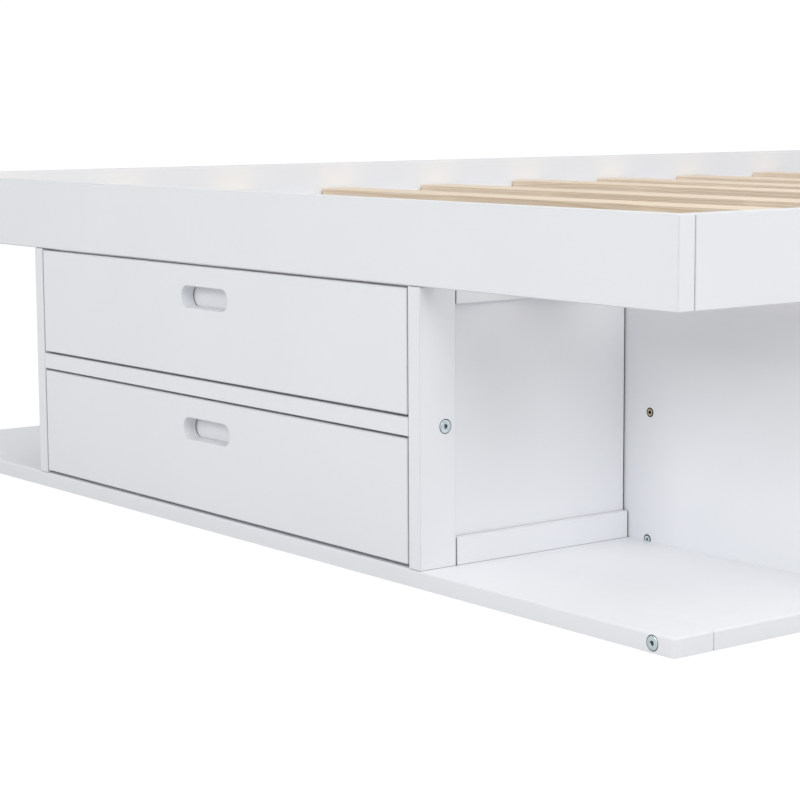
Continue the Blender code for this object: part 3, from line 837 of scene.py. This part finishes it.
def make_pine():
    material = new_material("planed_pine")
    timber, edge = kept(material, "timber"), kept(material, "edge")
    knot = knot_distance(material, timber)
    rings = maths(material, "DIVIDE", from_heart(material, timber, knot), RING_WIDTH)
    year = maths(material, "FRACT", rings)
    rise = ranged(material, year, *LATE_RISE, 0.0, 1.0)
    fall = ranged(material, year, *LATE_FALL, 1.0, 0.0)
    late = maths(material, "MULTIPLY", maths(material, "POWER", rise, LATE_CURVE), fall)
    fibre = noise(material, stretched(material, timber, FIBRE), FIBRES_PER_METRE,
                  detail=3.0, roughness=0.65)
    streak = noise(material, stretched(material, timber, STREAK), STREAKS_PER_METRE, detail=3.0)
    body = mixed(material, ranged(material, streak, *NOISE_BAND, 0.0, 1.0), EARLY_WOOD, SAP_WOOD)
    body = mixed(material, maths(material, "MULTIPLY", late, LATE_COVER), body, LATE_WOOD)
    body = mixed(material, ranged(material, fibre, *FIBRE_BAND, 0.0, FIBRE_COVER), body, LATE_WOOD)
    core = ranged(material, knot, *KNOT_SIZE, KNOT_COVER, 0.0)
    body = mixed(material, core, body, KNOT_WOOD)
    body = mixed(material, maths(material, "MULTIPLY", edge, EDGE_COVER), body, SAP_WOOD)
    # the slats' upward faces turn greyer, by the same mask as the rails' painted shade
    dust = maths(material, "MULTIPLY", kept(material, "dust"),
                 ranged(material, streak, *NOISE_BAND, *SLAT_TOP_GREY_COVER))
    body = mixed(material, dust, body, SLAT_TOP_GREY)
    rough = ranged(material, fibre, *NOISE_BAND, *PINE_ROUGHNESS)
    polish = maths(material, "MULTIPLY", late, LATE_POLISH)
    normal = bumped(material, fibre, FIBRE_DEPTH)
    normal = bumped(material, late, RING_DEPTH, normal)
    surface(material, body, maths(material, "SUBTRACT", rough, polish), normal)
    shader_of(material).inputs["Specular IOR Level"].default_value = PINE_SPECULAR
    return material


SLAT_EASE = 0.0010
SLAT_ROWS = 14
BOWS_MM = (-0.4, 0.5, -0.6, -0.6, -0.3, 1.4, -0.5, -0.4, 1.5, 0.8)
LIFTS_MM = (0.0, 0.0, 0.0, 0.0, 0.0, 2.3, 0.7, 0.4, 1.4, 0.8)        # of the left ends
DRIFTS_MM = (0.0, 0.0, 0.0, 0.0, 3.5, 4.5, 2.5, -0.5, -1.0, 0.0)     # of the left ends
pine = make_pine()
slats = sorted(node for node in frame["nodes"] if node.startswith("slat_") and node[-1].isdigit())
bends = np.array([BOWS_MM, LIFTS_MM, DRIFTS_MM]).T / 1000
for k, (node, (bow, lift, drift)) in enumerate(zip(slats, bends)):
    low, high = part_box(node)
    stands_for(board_in_box(node + "_planed", low, high, SLAT_EASE, SEEDS["slat"] + k,
                            middle=SLAT_ROWS, bow=bow, lift=lift, drift=drift, dust=1.0),
               node, pine)
print("slats:", len(slats), "bows in mm:", BOWS_MM)

# %% [markdown]
# ## Zinc and brass
#
# The bolts and the drawer slides are steel with a bright zinc plate, and the back board's screws
# are yellow passivated. Plated metal is nearly a mirror, broken up by fine drawing lines and by
# patches where the plate is duller. In a socket, in a screw's cross and round a head's rim the
# colour is darkened as painted shade, and the roughness rises there; each point of a head keeps
# how much painted shade it has.

# %% Metals
RECESS_SHADE = (0.030, 0.030, 0.028)
PATCHES_PER_METRE = 260.0
LINES_PER_METRE, LINE_DEPTH = 2600.0, 0.000012
PATCH_DULLER, RECESS_SHADE_DULLER = 0.14, 0.3        # added to the roughness
ZINC_BRIGHT, ZINC_DULL, ZINC_ROUGHNESS = (0.80, 0.90, 0.95), (0.62, 0.71, 0.76), 0.20
BRASS_BRIGHT, BRASS_DULL, BRASS_ROUGHNESS = (0.70, 0.60, 0.40), (0.54, 0.45, 0.28), 0.24
DRAWN, TURNED = (1.0, 0.06, 1.0), (1.0, 1.0, 1.0)    # stretch of the lines


def make_metal(name, bright, dull, least_rough, lines_stretch):
    """A plated metal: two tones in soft patches, fine lines, and a roughness that drifts."""
    material = new_material(name)
    place = add_node(material, "ShaderNodeTexCoord").outputs["Object"]
    soot = kept(material, "soot")
    patch = noise(material, place, PATCHES_PER_METRE, detail=3.0, roughness=0.6)
    lines = noise(material, stretched(material, place, lines_stretch), LINES_PER_METRE)
    body = mixed(material, ranged(material, patch, *PATCH_BAND, 0.0, 1.0), bright, dull)
    # painted shade: darker in sockets, recesses and round the heads' rims
    body = mixed(material, soot, body, RECESS_SHADE)
    rough = ranged(material, patch, *NOISE_BAND, least_rough, least_rough + PATCH_DULLER)
    rough = maths(material, "ADD", rough, maths(material, "MULTIPLY", soot, RECESS_SHADE_DULLER))
    surface(material, body, rough, bumped(material, lines, LINE_DEPTH))
    shader_of(material).inputs["Metallic"].default_value = 1.0
    return material


zinc = make_metal("zinc_plate", ZINC_BRIGHT, ZINC_DULL, ZINC_ROUGHNESS, DRAWN)
brass = make_metal("yellow_plate", BRASS_BRIGHT, BRASS_DULL, BRASS_ROUGHNESS, TURNED)
print("metals:", zinc.name, brass.name)

# %% [markdown]
# ## Bolts and screws
#
# A bolt head is a round surface whose middle is a six-sided socket, and a screw head's recess is
# a cross. Both are one polar grid: each row is a radius that may depend on the angle, at a height,
# so the socket's hexagon opens out row by row into the head's circle.

# %% Polar heads
HEAD_POINTS = 96
BOLT_HEAD, BOLT_SHANK, BOLT_UNDER, BOLT_PROUD = 0.0072, 0.0030, 0.0022, 0.0003
HEX_FLAT = 0.0022        # middle of the socket to one of its flats
HEX_DEEP = 0.0034
BOLT_ROUND = 0.0009
BOLT_DOME = 0.00022
LIP = 0.00025            # width of the socket's softened edge
HAIR = 0.0001            # the small step that keeps an edge crisp
# painted shade in the socket, on its lip, at the dome's edge and round the rim
SOCKET_SHADE, LIP_SHADE, DOME_SHADE, RIM_SHADE = 0.5, 0.6, 0.1, 0.7
DOME_ROWS, ROUND_ROWS = 5, 5
NECK, THREAD = 0.42, 0.40            # a screw's neck and thread, as shares of its head
NECK_DEEP = 0.0036
HEAD_SIDE = 0.0006       # how deep the head's straight side goes
CROSS_DEEP, CROSS_STEP = 0.0030, 0.0026      # the cross's bottom, and where it narrows to it
CROSS_FLARE = 1.12
SHARP_DEG = 38.0


def hexagon(angle, flat):
    """Radius of a hexagon: flat / cos of the angle to the nearest flat's middle."""
    return flat / np.cos((angle + np.pi / 6) % (np.pi / 3) - np.pi / 6)


def cross(angle, arm, width):
    """Radius of a plus sign: the farther of the two bars' edges along the ray."""
    cos, sin = np.abs(np.cos(angle)) + 1e-9, np.abs(np.sin(angle)) + 1e-9
    return np.maximum(np.minimum(arm / cos, width / sin), np.minimum(width / cos, arm / sin))


def polar_piece(name, centre, outward, rows):
    """Rows of (radius for each angle, height, painted shade) round an axis, closed at both ends."""
    out = Vector(outward)
    side = Vector((0.0, 0.0, 1.0))
    other = out.cross(side)
    angle = np.linspace(0.0, 2 * np.pi, HEAD_POINTS, endpoint=False)
    radius = np.array([np.broadcast_to(r, angle.shape) for r, *_ in rows])
    height = np.array([row[1] for row in rows])
    soot = np.array([row[2] if len(row) > 2 else 0.0 for row in rows])
    place = (np.array(centre) + height[:, None, None] * np.array(out)
             + (radius * np.cos(angle))[..., None] * np.array(side)
             + (radius * np.sin(angle))[..., None] * np.array(other))
    piece = mesh_piece(name, place, capped_faces(len(rows), HEAD_POINTS))
    note(piece, "soot", np.repeat(soot, HEAD_POINTS)[:, None])
    piece.data.set_sharp_from_angle(angle=math.radians(SHARP_DEG))
    return piece


def bolt_rows(length):
    """Socket floor, socket wall, lip, gentle dome, rounded rim, side, underside, shank."""
    angle = np.linspace(0.0, 2 * np.pi, HEAD_POINTS, endpoint=False)
    hexed = hexagon(angle, HEX_FLAT)
    lip, floor_at = hexed + LIP, BOLT_PROUD - HEX_DEEP
    rim = BOLT_HEAD - BOLT_ROUND
    rows = [(hexed * 0.4, floor_at, SOCKET_SHADE), (hexed * 0.94, floor_at, SOCKET_SHADE),
            (hexed, floor_at + 2 * HAIR, SOCKET_SHADE), (hexed, BOLT_PROUD - HAIR, LIP_SHADE),
            (lip, BOLT_PROUD + BOLT_DOME, DOME_SHADE)]
    for share in np.linspace(1 / DOME_ROWS, 1.0, DOME_ROWS):
        rows.append((lip * (1 - share) + rim * share,
                     BOLT_PROUD + BOLT_DOME * (1 - share ** 2)))
    for p in np.linspace(0.0, np.pi / 2, ROUND_ROWS + 1)[1:]:
        rows.append((rim + BOLT_ROUND * np.sin(p), BOLT_PROUD - BOLT_ROUND * (1 - np.cos(p)),
                     RIM_SHADE * np.sin(p) ** 6))
    return rows + [(BOLT_HEAD, -BOLT_UNDER, 1.0), (BOLT_SHANK, -BOLT_UNDER, 1.0),
                   (BOLT_SHANK, -length)]


def screw_rows(head, rim, arm, width, proud, length, below=1.0):
    """Cross recess that narrows as it goes down, flat head, countersunk shank; the recess and a ring
    at the rim are painted shade.

    below is how far down the head may reach: under its middle, radius <= below / |cos|.
    """
    angle = np.linspace(0.0, 2 * np.pi, HEAD_POINTS, endpoint=False)
    most = np.where(np.cos(angle) < -1e-6, below / np.maximum(-np.cos(angle), 1e-6), 1.0)
    wide = cross(angle, arm, width)
    top = proud + 0.00003
    flared = wide * CROSS_FLARE
    rows = [(wide * 0.25, proud - CROSS_DEEP, 1.0), (wide * 0.62, proud - CROSS_STEP, 1.0),
            (wide, proud, 1.0), (np.maximum(flared, wide + HAIR), top, LIP_SHADE)]
    for share in (0.4, 0.7, 1.0):
        rows.append((flared * (1 - share) + (head - rim) * share, top, 0.0))
    rows += [(head - rim + 2 * HAIR, top - 0.00004, 1.0), (head - HAIR, proud - HAIR, 1.0),
             (head, proud - 0.00035, 1.0), (head * 0.98, -HEAD_SIDE), (head * NECK, -NECK_DEEP),
             (head * THREAD, -length)]
    return [(np.minimum(row[0], most), *row[1:]) for row in rows]


def bolt_axes():
    """Middle of the wood's face, outward direction and length of each bolt, from the frame."""
    axes = {}
    for node in sorted(frame["nodes"]):
        low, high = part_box(node)
        middle = (low + high) / 2
        if node.startswith("base_bolt"):
            middle.y = low.y + BOLT_PROUD
            axes[node] = (middle, (0.0, -1.0, 0.0), high.y - low.y - BOLT_PROUD)
        elif node.startswith("post_bolt"):
            sign = 1.0 if middle.x > 0 else -1.0
            middle.x = (high.x if sign > 0 else low.x) - sign * BOLT_PROUD
            axes[node] = (middle, (sign, 0.0, 0.0), high.x - low.x - BOLT_PROUD)
    return axes


bolts = bolt_axes()
for node, (middle, outward, length) in bolts.items():
    stands_for(polar_piece(node + "_metal", middle, outward, bolt_rows(length)), node, zinc)
print("bolts:", sorted(bolts))

# %% [markdown]
# ## Counterbores
#
# Each bolt head lies in a shallow round recess, and the thin dark ring round it is the recess's
# edge. These few holes are cut with a Boolean, by a polar piece that flares at the mouth, so the
# rim of the hole is softened as well. The cut is applied and the cutter thrown away, and a
# Weighted Normal modifier keeps the large flat faces flat.

# %% Cut the bolt holes
HOLE_GAP = 0.0007
MOUTH = 0.0004
SHANK_GAP = 0.0005
CLEAR = 0.0004           # a hole goes deeper than what it holds by this
CUTTER_TIP, CUTTER_TOP = 0.001, 0.004        # radius of a cutter's start, above the face
HOLED = {"base_bolt": ("base_front_strip", "base_side_strip_"),
         "post_bolt": ("foot_post_", "drawer_divider")}


def hole_rows(length):
    """From above the face: a flare of radius MOUTH, the recess, and the shank's hole."""
    wide, narrow = BOLT_HEAD + HOLE_GAP, BOLT_SHANK + SHANK_GAP
    rows = [(CUTTER_TIP, CUTTER_TOP), (wide + MOUTH, CUTTER_TOP), (wide + MOUTH, 0.0)]
    rows += [(wide + MOUTH * (1 - math.sin(p)), -MOUTH * (1 - math.cos(p)))
             for p in (math.pi / 8, math.pi / 4, 3 * math.pi / 8, math.pi / 2)]
    return rows + [(wide, -BOLT_UNDER - CLEAR), (narrow, -BOLT_UNDER - CLEAR),
                   (narrow, -length - CLEAR)]


def cut_with(piece, cutter):
    """Apply a Boolean difference, so that only the finished mesh stays."""
    modifier = piece.modifiers.new("hole", "BOOLEAN")
    modifier.operation, modifier.solver, modifier.object = "DIFFERENCE", "EXACT", cutter
    graph = bpy.context.evaluated_depsgraph_get()
    mesh = bpy.data.meshes.new_from_object(piece.evaluated_get(graph))
    piece.modifiers.clear()
    piece.data = mesh


def settle(piece):
    """Finish a cut board: sharp where it turns hard, flat on its large faces.

    A hole's own points have no place in the timber yet, so every point's is worked out again.
    """
    place = np.empty((len(piece.data.vertices), 3), np.float32)
    piece.data.vertices.foreach_get("co", place.ravel())
    grain, start = timber_of[piece.name]
    timber = (np.roll(place, -grain, -1) + start).astype(np.float32)
    piece.data.attributes["timber"].data.foreach_set("vector", timber.ravel())
    if "custom_normal" in piece.data.attributes:
        piece.data.attributes.remove(piece.data.attributes["custom_normal"])
    piece.data.shade_smooth()
    piece.data.set_sharp_from_angle(angle=math.radians(SHARP_DEG))
    flat = piece.modifiers.new("flat_faces", "WEIGHTED_NORMAL")
    flat.keep_sharp, flat.weight = True, 100


cut_pieces = set()
for node, (middle, outward, length) in bolts.items():
    side = node.rsplit("_", 1)[1]
    cutter = polar_piece(node + "_cutter", middle, outward, hole_rows(length))
    for start in HOLED[node[:9]]:
        target = boards[start + side if start.endswith("_") else start]
        cut_with(target, cutter)
        cut_pieces.add(target)
    bpy.data.objects.remove(cutter)
for piece in cut_pieces:
    settle(piece)
print("boards with bolt holes:", sorted(piece.name for piece in cut_pieces))

# %% [markdown]
# ## Drawer slides
#
# A slide is two bent strips: a channel fixed to the bay and a runner on the drawer inside it. The
# section of each is an outline with three bends, carried along the drawer's path.

# %% Slides
CHANNEL_WALL, RUNNER_WALL = 0.0015, 0.0014
BEND, SLIDE_END = 0.0005, 0.0004


def channel_outline(low, high, wall, opens_up):
    """A C section as (z, x) pairs. opens_up: the open side faces +X."""
    a, b = low.x, high.x
    pairs = [(low.z, a), (high.z, a), (high.z, b), (high.z - wall, b), (high.z - wall, a + wall),
             (low.z + wall, a + wall), (low.z + wall, b), (low.z, b)]
    return pairs if opens_up else [(z, a + b - x) for z, x in pairs][::-1]


for node in sorted(n for n in frame["nodes"] if n.startswith("slide_")):
    low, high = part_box(node)
    right_side = low.x > 0
    channel = node.startswith("slide_channel")
    pairs = channel_outline(low, high, CHANNEL_WALL if channel else RUNNER_WALL,
                            opens_up=right_side != channel)
    outline = rounded_outline(pairs, BEND)
    stands_for(carried_board(node + "_metal", outline, 1, low.y, high.y - low.y,
                             (SLIDE_END, SLIDE_END)), node, zinc)
print("slides: 8")

# %% [markdown]
# ## Screws in the back board
#
# Two yellow screws on each side hold the back board to the long inner boards, and a small silver
# one shows just above the deck. They are small, but they are what catches the eye on a plain board.
# Each head sits in a countersink, cut like the bolts' holes, so the paint stops at its rim.

# %% Screws
SCREW_HEAD, SMALL_HEAD = 0.0050, 0.0052
SCREW_RIM, SMALL_RIM = 0.0013, 0.0012
SCREW_LONG, SMALL_LONG = 0.030, 0.025
SCREW_ARM, SMALL_ARM = 0.0019, 0.0013        # of the cross, from its middle
SCREW_CUT, SMALL_CUT = 0.0010, 0.0005        # half the width of a cut
SCREW_PROUD = 0.0003
SCREW_HEIGHTS = (0.164, 0.295)
SMALL_SCREW_LIFT = 0.0022
SMALL_SCREW_SHIFT = 0.0025           # further in than the long board's middle
SCREW_GAP = 0.0004
DECK_GAP = 0.0003
SINK_TOP, SINK_SIDE, SINK_DEEP = 0.003, 0.0009, 0.0040       # heights of the countersink's rows


def sunk_hole_rows(head, length):
    """A countersink: round the head, then narrowing with it to the shank's hole."""
    wide = head + SCREW_GAP
    narrow = head * NECK + SCREW_GAP
    return [(CUTTER_TIP, SINK_TOP), (wide, SINK_TOP), (wide, -SINK_SIDE), (narrow, -SINK_DEEP),
            (narrow, -length - CLEAR)]


def back_screw(name, x, z, metal, head, length, rows):
    """Turn the screw, and sink a hole for it into the back board."""
    place = (x, board_low.y, z)
    cutter = polar_piece(name + "_cutter", place, (0.0, -1.0, 0.0), sunk_hole_rows(head, length))
    cut_with(boards["back_board"], cutter)
    bpy.data.objects.remove(cutter)
    piece = polar_piece(name, place, (0.0, -1.0, 0.0), rows)
    piece.data.materials.append(metal)
    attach(piece, "root")


board_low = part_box("back_board")[0]
deck_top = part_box("foot_deck")[1].z
count = 0
for side in ("left", "right"):
    low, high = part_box("inner_board_" + side)
    x = (low.x + high.x) / 2
    for z in SCREW_HEIGHTS:
        back_screw("back_screw_%s_%d" % (side, round(z * 1000)), x, z, brass, SCREW_HEAD,
                   SCREW_LONG, screw_rows(SCREW_HEAD, SCREW_RIM, SCREW_ARM, SCREW_CUT,
                                          SCREW_PROUD, SCREW_LONG))
        count += 1
    x -= math.copysign(SMALL_SCREW_SHIFT, x)
    back_screw("deck_screw_" + side, x, deck_top + SMALL_SCREW_LIFT, zinc, SMALL_HEAD, SMALL_LONG,
               screw_rows(SMALL_HEAD, SMALL_RIM, SMALL_ARM, SMALL_CUT, SCREW_PROUD, SMALL_LONG,
                          SMALL_SCREW_LIFT - DECK_GAP))
    count += 1
settle(boards["back_board"])
print("screws:", count)

# %% [markdown]
# ## Last look
#
# The box round all the finished pieces is measured. The finished pieces may not outgrow the
# engineering model.

# %% Sizes
low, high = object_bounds()
